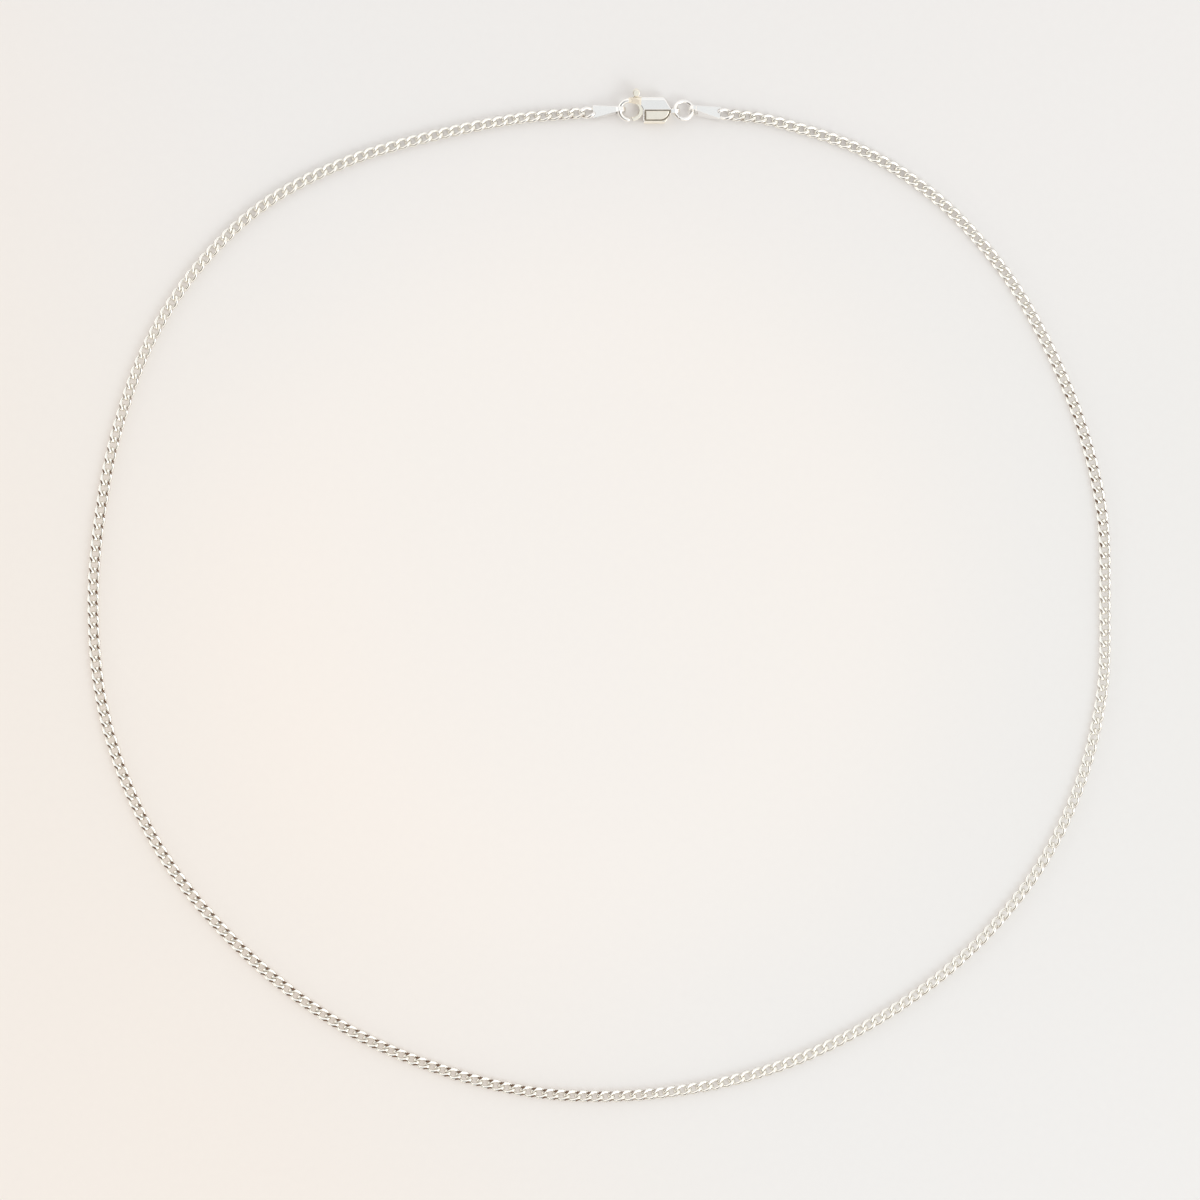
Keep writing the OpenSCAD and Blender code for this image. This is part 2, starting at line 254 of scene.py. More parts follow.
# %% Sky
SKY_STRENGTH = 1.13
SKY_LOW, SKY_MIDDLE = (0.92, 0.88, 0.83, 1), (0.98, 0.955, 0.92, 1)
SKY_MIDDLE_AT, SKY_WHITE_FROM = 0.2, 0.45
FRONT_TINT, BACK_TINT = (1.03, 0.985, 0.92, 1), (1.0, 0.985, 0.97, 1)
FRONT_FROM, BACK_FROM = -0.6, 0.4
world = bpy.data.worlds.new("studio_sky")
bpy.context.scene.world = world
world.use_nodes = True
tree = world.node_tree
sky = tree.nodes["Background"]
sky.inputs["Strength"].default_value = SKY_STRENGTH
toward = add(tree, "ShaderNodeTexCoord").outputs["Generated"]
toward_parts = add(tree, "ShaderNodeSeparateXYZ", {"Vector": toward})
height = toward_parts.outputs["Z"]
ramp = add(tree, "ShaderNodeValToRGB", {"Fac": height})
stops = ramp.color_ramp.elements
stops[0].position, stops[0].color = 0.0, SKY_LOW
stops[1].position, stops[1].color = SKY_WHITE_FROM, WHITE
stops.new(SKY_MIDDLE_AT).color = SKY_MIDDLE
tint = mix(tree, step(tree, toward_parts.outputs["Y"], FRONT_FROM, BACK_FROM), FRONT_TINT, BACK_TINT)
shaded = mix(tree, 1.0, ramp.outputs["Color"], tint, "MULTIPLY")
bpy.context.scene.view_settings.view_transform = "Standard"
print("sky strength", SKY_STRENGTH)

# %% Sky: dim patches
DIM_PATCHES = ((270, 58, 18, 28), (62, 36, 20, 32), (157, 54, 14, 24))  # azimuth, elevation, full to, ends at
DIM_TONE = (0.79, 0.81, 0.82, 1)


def cosine(degrees):
    """The cosine of an angle in degrees, which is how a dot product measures it."""
    return math.cos(math.radians(degrees))


for azimuth, elevation, full, end in DIM_PATCHES:
    nearness = vector_sums(tree, "DOT_PRODUCT", toward, direction(azimuth, elevation), gives="Value")
    shaded = mix(tree, step(tree, nearness, cosine(end), cosine(full)), shaded, DIM_TONE)
print("dim patches towards", [patch[:2] for patch in DIM_PATCHES])

# %% Sky: one dark gap
GAP_AZIMUTH, GAP_HALF_WIDTH, GAP_SOFT_EDGE = 225, 32, 9
GAP_STARTS, GAP_ENDS, GAP_STRENGTH = (0.36, 0.52), (0.985, 0.9993), 0.95  # by height, where 1 is overhead
GAP_TONE = (0.07, 0.05, 0.04, 1)
level_way = vector_sums(tree, "NORMALIZE", vector_sums(tree, "MULTIPLY", toward, (1.0, 1.0, 0.0)))
facing_gap = vector_sums(tree, "DOT_PRODUCT", level_way, direction(GAP_AZIMUTH), gives="Value")
gap = sums(tree, "MULTIPLY",
           step(tree, facing_gap, cosine(GAP_HALF_WIDTH + GAP_SOFT_EDGE), cosine(GAP_HALF_WIDTH)),
           step(tree, height, *GAP_STARTS))
gap = sums(tree, "MULTIPLY", gap, step(tree, height, *GAP_ENDS, GAP_STRENGTH, 0.0))
feed(tree, sky.inputs["Color"], mix(tree, gap, shaded, GAP_TONE))
print("dark gap towards azimuth", GAP_AZIMUTH)

# %% [markdown]
# ## Shared finishes
# Every piece is polished silver, so its effects are made once, as groups that put out only values and
# colours, and each material mixes them in its own measure. Wear is the faint waves from casting or drawing
# and a web of hair-thin scratches. Tarnish is the thin warm brown film that grows where no cloth reaches,
# and the same film also paints the shade that falls in hollows and between the links. It comes in blotches,
# by a noise whose middle is a half, so a half is added to keep its mean.

# %% Shared finish: wear of polished silver
HAIR_STRETCH, HAIR_TURN = (1.0, 0.16, 1.0), (0.2, 0.1, 0.7)
wear, wear_in, wear_out = new_group(
    "polish_wear", "ShaderNodeTree",
    [("Place", "NodeSocketVector", None), ("Wave scale", "NodeSocketFloat", 1200.0),
     ("Scratch scale", "NodeSocketFloat", 9000.0), ("Scratches", "NodeSocketFloat", 0.3)],
    [("Height", "NodeSocketFloat"), ("Dullness", "NodeSocketFloat")])
waves = add(wear, "ShaderNodeTexNoise", {
    "Vector": wear_in.outputs["Place"], "Scale": wear_in.outputs["Wave scale"],
    "Detail": 2.0, "Roughness": 0.45}).outputs["Fac"]
stretched = add(wear, "ShaderNodeMapping", {
    "Vector": wear_in.outputs["Place"], "Scale": HAIR_STRETCH, "Rotation": HAIR_TURN}).outputs["Vector"]
hairs = add(wear, "ShaderNodeTexNoise", {
    "Vector": stretched, "Scale": wear_in.outputs["Scratch scale"],
    "Detail": 3.0, "Roughness": 0.7}).outputs["Fac"]
scored = sums(wear, "MULTIPLY", hairs, wear_in.outputs["Scratches"])
feed(wear, wear_out.inputs["Height"], sums(wear, "ADD", waves, scored))
feed(wear, wear_out.inputs["Dullness"], sums(wear, "MULTIPLY", sums(wear, "ADD", waves, hairs), 0.5))
print("group", wear.name)

# %% Shared finish: tarnish and painted shade
BRIGHT_SILVER, BROWN_TARNISH_AND_SHADE = (0.94, 0.93, 0.91, 1), (0.21, 0.135, 0.09, 1)
BLOTCH_SCALE, BLOTCH_DETAIL, BLOTCH_MIDDLE = 700.0, 4.0, 0.5
tarnish, tarnish_in, tarnish_out = new_group(
    "warm_tarnish_and_shade", "ShaderNodeTree",
    [("Place", "NodeSocketVector", None), ("Amount", "NodeSocketFloat", 0.2),
     ("Silver", "NodeSocketColor", BRIGHT_SILVER), ("Film", "NodeSocketColor", BROWN_TARNISH_AND_SHADE)],
    [("Color", "NodeSocketColor"), ("Mask", "NodeSocketFloat")])
blotches = add(tarnish, "ShaderNodeTexNoise", {
    "Vector": tarnish_in.outputs["Place"], "Scale": BLOTCH_SCALE, "Detail": BLOTCH_DETAIL}).outputs["Fac"]
uneven = sums(tarnish, "ADD", blotches, BLOTCH_MIDDLE)
patchy = sums(tarnish, "MULTIPLY", tarnish_in.outputs["Amount"], uneven)
covered = add(tarnish, "ShaderNodeClamp", {"Value": patchy}).outputs["Result"]
# the brown film is real tarnish and also painted shade, by the amount each material feeds in
filmed = mix(tarnish, covered, tarnish_in.outputs["Silver"], tarnish_in.outputs["Film"])
feed(tarnish, tarnish_out.inputs["Color"], filmed)
feed(tarnish, tarnish_out.inputs["Mask"], covered)
print("group", tarnish.name)

# %% [markdown]
# ## Painted grime and shade in the notches
# Where a link meets the next one, a notch is left beside the wire at each of its four corners, and a short
# slanting dash is painted dark in it, partly as tarnish and partly as the shade that falls in the notch.
# These dashes can be painted by rule, because every link is alike. Each spot of a link will know its place
# within the link, in millimetres, and this group gives 1 on a small leaning oval at each corner and fades
# it out towards the oval's edge.

# %% Painted grime and shade in a link's notches
NOTCH_AT_MM = {"X": 0.79, "Y": 0.54}
NOTCH_LEAN = 36
NOTCH_FADE = (0.5, 1.3)
notch, notch_in, notch_out = new_group(
    "notch_film_and_shade", "ShaderNodeTree",
    [("Spot", "NodeSocketVector", None), ("Grime and shade", "NodeSocketFloat", 0.0),
     ("Half length", "NodeSocketFloat", 0.33), ("Half thickness", "NodeSocketFloat", 0.15)],
    [("Mask", "NodeSocketFloat")])
spot = add(notch, "ShaderNodeSeparateXYZ", {"Vector": notch_in.outputs["Spot"]})
from_notch = add(notch, "ShaderNodeCombineXYZ")
for axis, middle in NOTCH_AT_MM.items():
    notch_at = sums(notch, "MULTIPLY", sums(notch, "SIGN", spot.outputs[axis]), middle)
    feed(notch, from_notch.inputs[axis], sums(notch, "SUBTRACT", spot.outputs[axis], notch_at))
squares = []
for label, way in (("Half length", direction(NOTCH_LEAN)), ("Half thickness", direction(NOTCH_LEAN + 90))):
    distance = vector_sums(notch, "DOT_PRODUCT", from_notch.outputs["Vector"], way, gives="Value")
    share = sums(notch, "DIVIDE", distance, notch_in.outputs[label])
    squares.append(sums(notch, "MULTIPLY", share, share))
# a dark dash painted at each notch, for grime and for the shade there
dash = step(notch, sums(notch, "ADD", *squares), *NOTCH_FADE, 1.0, 0.0)
feed(notch, notch_out.inputs["Mask"], sums(notch, "MULTIPLY", dash, notch_in.outputs["Grime and shade"]))
print("group", notch.name)

# %% [markdown]
# ## The five silvers
# The chain, the tags, the ring, the clasp and its trigger are all silver but are finished differently. The
# links are tumbled wire with tarnish and painted shade where they cross, the tags are folded sheet, the
# ring is bright drawn wire, the clasp is cast with soft waves in its polish, and the trigger is tinted warm
# for a painted warm reflection. One function builds the material, and its numbers tell them apart. It
# reads attributes that a mesh may carry: how dark a hidden spot is painted, as tarnish and shade; warm,
# where the casting is tinted yellower for a painted warm reflection; filed, where it is duller; and the
# chain's spot and its painted grime and shade. A mesh that lacks one of them gives 0 for it.

# %% The five silvers
# the tone of a painted warm reflection, where a mesh's warm attribute asks for it
WARM_REFLECTION_SILVER = (0.96, 0.90, 0.79, 1)
FILM_DULLS, FILING_DULLS = 0.3, 0.5


def painted(tree, name, gives="Fac"):
    """What the mesh's attribute of that name says at each spot."""
    return add(tree, "ShaderNodeAttribute", attribute_name=name).outputs[gives]


def silver(name, roughness, spread, bump, wave_scale, scratches, tarnished, by_hollow_shade_and_tarnish=0.0, by_notch_film_and_shade=0.0,
           tint=BRIGHT_SILVER, grime_and_shade=BROWN_TARNISH_AND_SHADE):
    """Polished silver. tarnished is its real film all over; the two amounts after it say how much painted
    tarnish and shade its hollows and its notches add.
    """
    finish = bpy.data.materials.new(name)
    finish.use_nodes = True
    tree = finish.node_tree
    metal = tree.nodes["Principled BSDF"]
    metal.inputs["Metallic"].default_value = 1.0
    place = add(tree, "ShaderNodeTexCoord").outputs["Object"]
    worn = add(tree, "ShaderNodeGroup", {
        "Place": place, "Wave scale": wave_scale, "Scratches": scratches}, node_tree=wear)
    # real tarnish all over, plus the painted tarnish and shade of the hollows
    amount = sums(tree, "MULTIPLY_ADD", painted(tree, "hollow_shade_and_tarnish"), by_hollow_shade_and_tarnish, tarnished)
    if by_notch_film_and_shade:
        dashes = add(tree, "ShaderNodeGroup", {
            "Spot": painted(tree, "spot", "Vector"), "Grime and shade": painted(tree, "grime_and_shade")}, node_tree=notch)
        amount = sums(tree, "MULTIPLY_ADD", dashes.outputs["Mask"], by_notch_film_and_shade, amount)
    film = add(tree, "ShaderNodeGroup", {
        "Place": place, "Amount": amount, "Silver": mix(tree, painted(tree, "warm"), tint, WARM_REFLECTION_SILVER),
        "Film": grime_and_shade}, node_tree=tarnish)
    feed(tree, metal.inputs["Base Color"], film.outputs["Color"])
    dull = sums(tree, "MULTIPLY_ADD", worn.outputs["Dullness"], spread, roughness)
    dull = sums(tree, "MULTIPLY_ADD", film.outputs["Mask"], FILM_DULLS, dull)
    dull = sums(tree, "MULTIPLY_ADD", painted(tree, "filed"), FILING_DULLS, dull)
    feed(tree, metal.inputs["Roughness"], dull)
    lift = add(tree, "ShaderNodeBump", {"Height": worn.outputs["Height"], "Distance": bump, "Strength": 1.0})
    feed(tree, metal.inputs["Normal"], lift.outputs["Normal"])
    return finish


# the trigger's warm tint is a painted warm reflection
trigger_silver = silver("warm_reflection_trigger_silver", roughness=0.08, spread=0.12, bump=0.000004, wave_scale=700.0,
                        scratches=0.25, tarnished=0.02, by_hollow_shade_and_tarnish=0.3, tint=(0.99, 0.94, 0.82, 1))
chain_silver = silver("tumbled_chain_silver", roughness=0.10, spread=0.14, bump=0.000002, wave_scale=2200.0,
                      scratches=0.2, tarnished=0.0, by_hollow_shade_and_tarnish=0.5, by_notch_film_and_shade=2.0, tint=(0.955, 0.942, 0.895, 1))
tag_silver = silver("folded_tag_silver", roughness=0.14, spread=0.16, bump=0.000003, wave_scale=900.0,
                    scratches=0.35, tarnished=0.03, by_hollow_shade_and_tarnish=0.6)
ring_silver = silver("bright_ring_silver", roughness=0.05, spread=0.08, bump=0.000002, wave_scale=1500.0,
                     scratches=0.2, tarnished=0.01)
clasp_silver = silver("cast_clasp_silver", roughness=0.08, spread=0.12, bump=0.000004, wave_scale=700.0,
                      scratches=0.25, tarnished=0.02, by_hollow_shade_and_tarnish=0.75, grime_and_shade=(0.17, 0.145, 0.115, 1))
print("finishes", [m.name for m in (trigger_silver, chain_silver, tag_silver, ring_silver, clasp_silver)])

# %% [markdown]
# ## Where the chain runs
# The route repeats the CAD's own points: x and y in millimetres, and how far the chain is rolled there,
# with its outer edge up. A fourth number says how dark grime and shade are painted between the links
# there. A rolled chain stands a little higher, so the height of each point is worked out from the link
# itself: it is the depth of the lowest spot of a twisted link at that roll. The two ends follow from the
# tags that they hang on.

# %% Link sizes
LINK_HALF_LENGTH_MM = 1.10
LINK_HALF_WIDTH_MM = 0.66
LINK_WIRE_MM = 0.50
LINK_SIDE_SWELL = 0.18
LINK_TWIST = math.radians(-54)
LINK_PITCH_MM = 1.587
REST_GAP_MM = 0.01
LOOK_EVERY = 5


def link_spot(turn):
    """A point of the link's centre line in millimetres: an oval, twisted about its length."""
    x, side = math.cos(turn), LINK_HALF_WIDTH_MM * math.sin(turn)
    return Vector((LINK_HALF_LENGTH_MM * x, side * math.cos(LINK_TWIST * x), side * math.sin(LINK_TWIST * x)))


def wire_radius(turn):
    """Half the wire's thickness there in millimetres: rolling the chain flat swells its sides."""
    return LINK_WIRE_MM / 2 * (1 + LINK_SIDE_SWELL * math.sin(turn) ** 2)


def height_at(roll):
    """How high a link's middle lies when it is rolled by so many degrees and just rests, in millimetres."""
    r = math.radians(roll)
    turns = [math.radians(t) for t in range(0, 360, LOOK_EVERY)]
    lowest = min(link_spot(t).dot(Vector((0, math.sin(r), math.cos(r)))) - wire_radius(t) for t in turns)
    return REST_GAP_MM - lowest


for roll in (0, 28):
    print("height of a link rolled by", roll, "degrees", round(height_at(roll), 3), "mm")

# %% Route
RIGHT_EYE_MM, RIGHT_PITCH, RIGHT_ROLL, RIGHT_YAW = (13.9749, 69.7, 0.955381), 4.3267, 26, 7
LEFT_EYE_MM, LEFT_PITCH, LEFT_ROLL, LEFT_YAW = (3.41, 69.7, 1.19575), 7.47824, 8, 4
END_LINK_AT_MM = 4.705
END_ROLL, END_GRIME_AND_SHADE = -10, 0.3

# x and y in mm, roll in degrees, how dark grime and shade are painted between the links
CAD_ROUTE = [
    (26.0, 68.0, -8, 0.1), (38.0, 64.0, 0, 0.1), (49.0, 57.0, 0, 0.12), (58.2, 47.1, 0, 0.2),
    (64.8, 36.1, 0, 0.35), (69.8, 24.1, 0, 0.55), (72.7, 11.6, 0, 0.5), (73.1, -1.0, 5, 0.3),
    (72.7, -13.7, 15, 0.2), (69.7, -26.5, 25, 0.15), (64.2, -38.2, 28, 0.15), (56.4, -48.3, 28, 0.15),
    (47.0, -56.6, 25, 0.15), (36.2, -63.3, 15, 0.15), (25.0, -68.1, 5, 0.15), (13.0, -71.0, 0, 0.2),
    (0.5, -72.0, 0, 0.5), (-11.5, -71.0, 0, 1.0), (-23.6, -67.7, 0, 1.0), (-35.1, -62.7, 0, 1.0),
    (-45.6, -55.6, 0, 1.0), (-54.6, -47.1, 0, 1.0), (-62.1, -37.5, 0, 1.0), (-67.9, -26.0, 0, 0.95),
    (-71.3, -14.0, 0, 0.9), (-72.3, -1.0, 0, 0.85), (-71.3, 11.5, 0, 0.7), (-68.8, 23.9, 0, 0.4),
    (-64.2, 36.4, 0, 0.2), (-57.2, 47.2, 0, 0.1), (-47.7, 56.2, 0, 0.1), (-35.9, 62.3, 0, 0.1),
    (-24.0, 65.9, -5, 0.1), (-12.0, 68.4, -8, 0.1)]


def beyond_tag(eye, yaw, pitch, heading):
    """Middle of the first free link after a tag, in millimetres; heading is 1 to the right, -1 to the left."""
    reach = END_LINK_AT_MM * math.cos(math.radians(pitch)) + LINK_PITCH_MM
    ahead, down = reach * math.cos(math.radians(yaw)), reach * math.sin(math.radians(yaw))
    return (eye[0] + heading * ahead, eye[1] - down)


route = ([(*beyond_tag(RIGHT_EYE_MM, RIGHT_YAW, RIGHT_PITCH, 1), END_ROLL, END_GRIME_AND_SHADE)] + CAD_ROUTE
         + [(*beyond_tag(LEFT_EYE_MM, LEFT_YAW, LEFT_PITCH, -1), END_ROLL, END_GRIME_AND_SHADE)])
print("route points", len(route))

# %% [markdown]
# ## Chain of links
# Some 275 equal links follow one path, which is what Geometry Nodes are for. The link is made inside the
# tree: a circle of a few points is stretched to an oval and twisted, and a thin tube is drawn along it, a
# little thicker at the sides, because a curb chain is rolled flat. Each spot of its skin then learns two
# things. How dark it is painted, as tarnish and as the shade that falls where the wires cross, is high where
# the wire of the next link, or of the one before, comes close, most of all towards the link's sides. Its
# spot is its place within the link, in millimetres.

# %% Tree: the wire of one link
LINK_STEPS, WIRE_SIDES = 16, 6
LINK_SWAY, LINK_SEED = math.radians(2.5), 7
tree, given, made = new_group(
    "links_along_route", "GeometryNodeTree",
    [("Route", "NodeSocketGeometry", None),
     ("Pitch", "NodeSocketFloat", LINK_PITCH_MM * MM),
     ("Half length", "NodeSocketFloat", LINK_HALF_LENGTH_MM * MM),
     ("Half width", "NodeSocketFloat", LINK_HALF_WIDTH_MM * MM),
     ("Wire", "NodeSocketFloat", LINK_WIRE_MM * MM),
     ("Side swell", "NodeSocketFloat", LINK_SIDE_SWELL),
     ("Twist", "NodeSocketFloat", LINK_TWIST),
     ("Sway", "NodeSocketFloat", LINK_SWAY),
     ("Seed", "NodeSocketInt", LINK_SEED),
     ("Finish", "NodeSocketMaterial", None)],
    [("Links", "NodeSocketGeometry")])
circle = add(tree, "GeometryNodeCurvePrimitiveCircle",
             {"Resolution": LINK_STEPS, "Radius": 1.0}).outputs["Curve"]
on_circle = add(tree, "ShaderNodeSeparateXYZ",
                {"Vector": add(tree, "GeometryNodeInputPosition").outputs["Position"]})
along, aside = on_circle.outputs["X"], on_circle.outputs["Y"]
swell = sums(tree, "MULTIPLY", sums(tree, "MULTIPLY", aside, aside), given.outputs["Side swell"])
swollen = add(tree, "GeometryNodeSetCurveRadius",
              {"Curve": circle, "Radius": sums(tree, "ADD", swell, 1.0)}).outputs["Curve"]
across = sums(tree, "MULTIPLY", aside, given.outputs["Half width"])
turned = sums(tree, "MULTIPLY", along, given.outputs["Twist"])
bent = add(tree, "ShaderNodeCombineXYZ", {
    "X": sums(tree, "MULTIPLY", along, given.outputs["Half length"]),
    "Y": sums(tree, "MULTIPLY", across, sums(tree, "COSINE", turned)),
    "Z": sums(tree, "MULTIPLY", across, sums(tree, "SINE", turned))}).outputs["Vector"]
link_line = add(tree, "GeometryNodeSetPosition", {"Geometry": swollen, "Position": bent}).outputs["Geometry"]
wire_round = add(tree, "GeometryNodeCurvePrimitiveCircle", {
    "Resolution": WIRE_SIDES, "Radius": sums(tree, "MULTIPLY", given.outputs["Wire"], 0.5)}).outputs["Curve"]
wire_mesh = add(tree, "GeometryNodeCurveToMesh",
                {"Curve": link_line, "Profile Curve": wire_round}).outputs["Mesh"]
wire_mesh = add(tree, "GeometryNodeSetShadeSmooth", {"Geometry": wire_mesh}).outputs["Geometry"]
print("a link has", LINK_STEPS * WIRE_SIDES, "faces")

# %% Tree: what each spot of the skin knows
SHADE_AND_TARNISH_FULL, SHADE_AND_TARNISH_NONE = 0.62, 1.0  # distance to a neighbour's centre line, in thicknesses of the wire
SIDE_FROM, SIDE_FULL, SHADE_AND_TARNISH_INSIDE = 0.3, 0.6, 0.15  # place across the link, in its half widths


def keep(tree, geometry, name, value, kind="FLOAT"):
    """The geometry with a value kept at each of its points, as a named attribute."""
    return add(tree, "GeometryNodeStoreNamedAttribute", {"Geometry": geometry, "Name": name, "Value": value},
               data_type=kind, domain="POINT").outputs["Geometry"]


neighbours = add(tree, "GeometryNodeJoinGeometry")
bare_line = add(tree, "GeometryNodeCurveToMesh", {"Curve": link_line}).outputs["Mesh"]
for way in (1.0, -1.0):
    shift = add(tree, "ShaderNodeCombineXYZ", {"X": sums(tree, "MULTIPLY", given.outputs["Pitch"], way)})
    moved = add(tree, "GeometryNodeTransform",
                {"Geometry": bare_line, "Translation": shift.outputs["Vector"]}).outputs["Geometry"]
    feed(tree, neighbours.inputs["Geometry"], moved)
skin = add(tree, "GeometryNodeInputPosition").outputs["Position"]
to_next = add(tree, "GeometryNodeProximity",
              {"Geometry": neighbours.outputs["Geometry"], "Sample Position": skin},
              target_element="EDGES").outputs["Distance"]
# the crossings are painted darker, as tarnish and as the shade between the wires
closeness = step(tree, sums(tree, "DIVIDE", to_next, given.outputs["Wire"]), SHADE_AND_TARNISH_FULL, SHADE_AND_TARNISH_NONE,
                 1.0, 0.0, "LINEAR")
sideways = sums(tree, "ABSOLUTE", add(tree, "ShaderNodeSeparateXYZ", {"Vector": skin}).outputs["Y"])
at_side = step(tree, sums(tree, "DIVIDE", sideways, given.outputs["Half width"]), SIDE_FROM, SIDE_FULL,
               SHADE_AND_TARNISH_INSIDE, 1.0, "LINEAR")
link = keep(tree, wire_mesh, "hollow_shade_and_tarnish", sums(tree, "MULTIPLY", closeness, at_side))
link = keep(tree, link, "spot", vector_sums(tree, "SCALE", skin, scale=1 / MM), "FLOAT_VECTOR")
print("tree", tree.name, "nodes so far", len(tree.nodes))

# %% [markdown]
# ## Along the route
# The rest of the tree turns the route into a smooth Catmull Rom curve, as the CAD's own blend does, and
# puts a point on it for each link. A link is placed there along the curve's direction, rolled with the
# route and swayed a little by a fixed seed. The copies are made real, because the export drops instances.
# The painted tarnish and shade between the links is then scaled by how dark that place is painted, and the
# finish comes last.

# %% Tree: one link repeated along the route
ROUTE_SMOOTHNESS = 32
RANDOM_LOW, RANDOM_HIGH, RANDOM_SEED, RANDOM_RESULT = 2, 3, 8, 1  # a Random Value node's number sockets


def kept(tree, name):
    """Reads a value that was kept at the points."""
    return add(tree, "GeometryNodeInputNamedAttribute", {"Name": name}, data_type="FLOAT").outputs["Attribute"]


curve = add(tree, "GeometryNodeMeshToCurve", {"Mesh": given.outputs["Route"]}).outputs["Curve"]
curve = add(tree, "GeometryNodeCurveSplineType", {"Curve": curve}, spline_type="CATMULL_ROM").outputs["Curve"]
curve = add(tree, "GeometryNodeSetSplineResolution",
            {"Geometry": curve, "Resolution": ROUTE_SMOOTHNESS}).outputs["Geometry"]
curve = add(tree, "GeometryNodeResampleCurve",
            {"Curve": curve, "Length": given.outputs["Pitch"]}, mode="LENGTH").outputs["Curve"]
tangent = add(tree, "GeometryNodeInputTangent").outputs["Tangent"]
facing = add(tree, "FunctionNodeAlignRotationToVector", {"Vector": tangent}, axis="X", pivot_axis="Z")
chance = add(tree, "FunctionNodeRandomValue", {
    RANDOM_LOW: -1.0, RANDOM_HIGH: 1.0, RANDOM_SEED: given.outputs["Seed"]}, data_type="FLOAT")
rolled = sums(tree, "MULTIPLY_ADD", chance.outputs[RANDOM_RESULT], given.outputs["Sway"], kept(tree, "roll"))
about_x = add(tree, "FunctionNodeAxisAngleToRotation", {"Axis": AHEAD, "Angle": rolled}).outputs["Rotation"]
pose = add(tree, "FunctionNodeRotateRotation",
           {"Rotation": facing.outputs["Rotation"], "Rotate By": about_x}, rotation_space="LOCAL")
row = add(tree, "GeometryNodeInstanceOnPoints", {
    "Points": curve, "Instance": link, "Rotation": pose.outputs["Rotation"]}).outputs["Instances"]
real = add(tree, "GeometryNodeRealizeInstances", {"Geometry": row}).outputs["Geometry"]
# scales each link's painted tarnish and shade by how dark its place is painted
grimy_and_shaded = keep(tree, real, "hollow_shade_and_tarnish", sums(tree, "MULTIPLY", kept(tree, "hollow_shade_and_tarnish"), kept(tree, "grime_and_shade")))
finished = add(tree, "GeometryNodeSetMaterial", {"Geometry": grimy_and_shaded, "Material": given.outputs["Finish"]})
feed(tree, made.inputs["Links"], finished.outputs["Geometry"])
link_tree = tree
print("tree", link_tree.name, "nodes", len(link_tree.nodes))

# %% Run the tree on the route


def paint(mesh, name, values):
    """Keeps one value for each point of the mesh, as a named attribute."""
    mesh.attributes.new(name, "FLOAT", "POINT").data.foreach_set("value", values)


route_mesh = bpy.data.meshes.new("route")
route_mesh.from_pydata([(x * MM, y * MM, height_at(roll) * MM) for x, y, roll, _ in route],
                       [(i, i + 1) for i in range(len(route) - 1)], [])
paint(route_mesh, "roll", [math.radians(roll) for _, _, roll, _ in route])
# how dark grime and shade are painted between the links at each point
paint(route_mesh, "grime_and_shade", [grime_and_shade for *_, grime_and_shade in route])
route_piece = show(bpy.data.objects.new("route", route_mesh))
maker = route_piece.modifiers.new("links", "NODES")
maker.node_group = link_tree
for item in link_tree.interface.items_tree:
    if item.in_out == "INPUT" and item.name == "Finish":
        maker[item.identifier] = chain_silver
print("modifier", maker.name, "on", len(route_mesh.vertices), "points")

# %% Links as a plain mesh


def plain_mesh(piece, name):
    """The piece's mesh with its modifiers applied, as a mesh of its own with its faces outwards."""
    graph = bpy.context.evaluated_depsgraph_get()
    mesh = bpy.data.meshes.new_from_object(piece.evaluated_get(graph), preserve_all_data_layers=True,
                                           depsgraph=graph)
    mesh.name = name
    check = bmesh.new()
    check.from_mesh(mesh)
    if check.calc_volume(signed=True) < 0:
        bmesh.ops.reverse_faces(check, faces=check.faces)
        check.to_mesh(mesh)
    check.free()
    return mesh


link_mesh = plain_mesh(route_piece, "chain_links")
bpy.data.objects.remove(route_piece)
chain_links = show(bpy.data.objects.new("chain_links", link_mesh))
print("links", len(link_mesh.polygons) // (LINK_STEPS * WIRE_SIDES), "triangles", 2 * len(link_mesh.polygons),
      "attributes", [a.name for a in link_mesh.attributes if not a.name.startswith(".")])

# %% [markdown]
# ## Soft edges from a CAD solid
# Cast and folded silver has no sharp edge: tumbling rounds them all. A Bevel modifier needs clean faces,
# and a CAD mesh is a fan of long triangles, so another way is taken. The solid is remeshed into small
# even squares, and a few rounds of smoothing then soften its edges alone, because a flat place stays
# flat. Blender's remesh can't go finer than 0.1 mm when a mesh is in metres, so the work is done in
# millimetres and scaled back. Grooves and inner corners are painted darker, as tarnish and as the shade that
# falls in them, so each point also gets a value from its neighbours: where their middle lies outside the
# skin, the place is hollow.

# %% Helper for hollow places
HOLLOW_BLUR = 4
HOLLOW_FROM, HOLLOW_FULL = 0.006, 0.036  # how far the neighbours' middle lies out, in squares


def places_of(mesh):
    """The places of a mesh's points, as an array with a row for each."""
    places = np.empty(len(mesh.vertices) * 3)
    mesh.vertices.foreach_get("co", places)
    return places.reshape(-1, 3)


